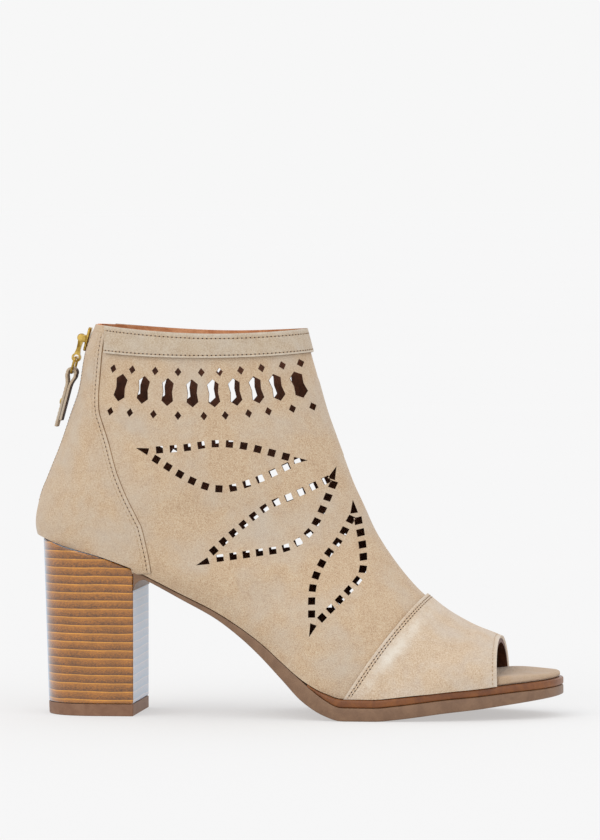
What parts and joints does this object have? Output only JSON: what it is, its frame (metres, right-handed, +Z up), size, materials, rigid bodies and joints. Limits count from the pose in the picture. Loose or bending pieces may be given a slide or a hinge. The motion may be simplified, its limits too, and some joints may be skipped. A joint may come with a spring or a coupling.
{
  "type": "open-toe ankle boot",
  "caption": "Open-toe suede ankle boot with cut-out leaves, a stacked block heel, a leather sole with welt and a back zip with a hanging pull.",
  "frame": {"origin": "centre of the heel tread, on the floor", "axes": "+X to the toe, +Y to the inner side of the foot, +Z up"},
  "size_m": [0.2375, 0.0858, 0.1746],
  "materials": {
    "suede": "napped sand suede, matte",
    "outsole": "smooth brown sole, satin edge",
    "welt": "red-brown leather strip, waxed",
    "heel_stack": "stacked leather look with light layer lines, lacquered",
    "top_lift": "brown rubber lift, matte",
    "zip_tape": "woven sand tape",
    "gold_metal": "polished pale gold"
  },
  "bodies": {
    "boot": {"outsole": "outsole", "welt": "welt", "heel_block": "heel_stack", "heel_top_lift": "top_lift", "insole": "suede", "upper": "suede", "toe_cap": "suede", "collar_band": "suede", "zip_tape": "zip_tape", "zip_slider": "gold_metal"},
    "zip_pull": {"zip_puller": "gold_metal", "zip_link": "gold_metal", "pull_tab": "suede", "tab_stud": "gold_metal"}
  },
  "joints": [
    {"name": "zip_pull_swing", "type": "hinge", "parent": "boot", "child": "zip_pull", "pos_m": [-0.00624, 0, 0.16833], "axis": [0, 1, 0], "range_deg": [0, 150]}
  ]
}
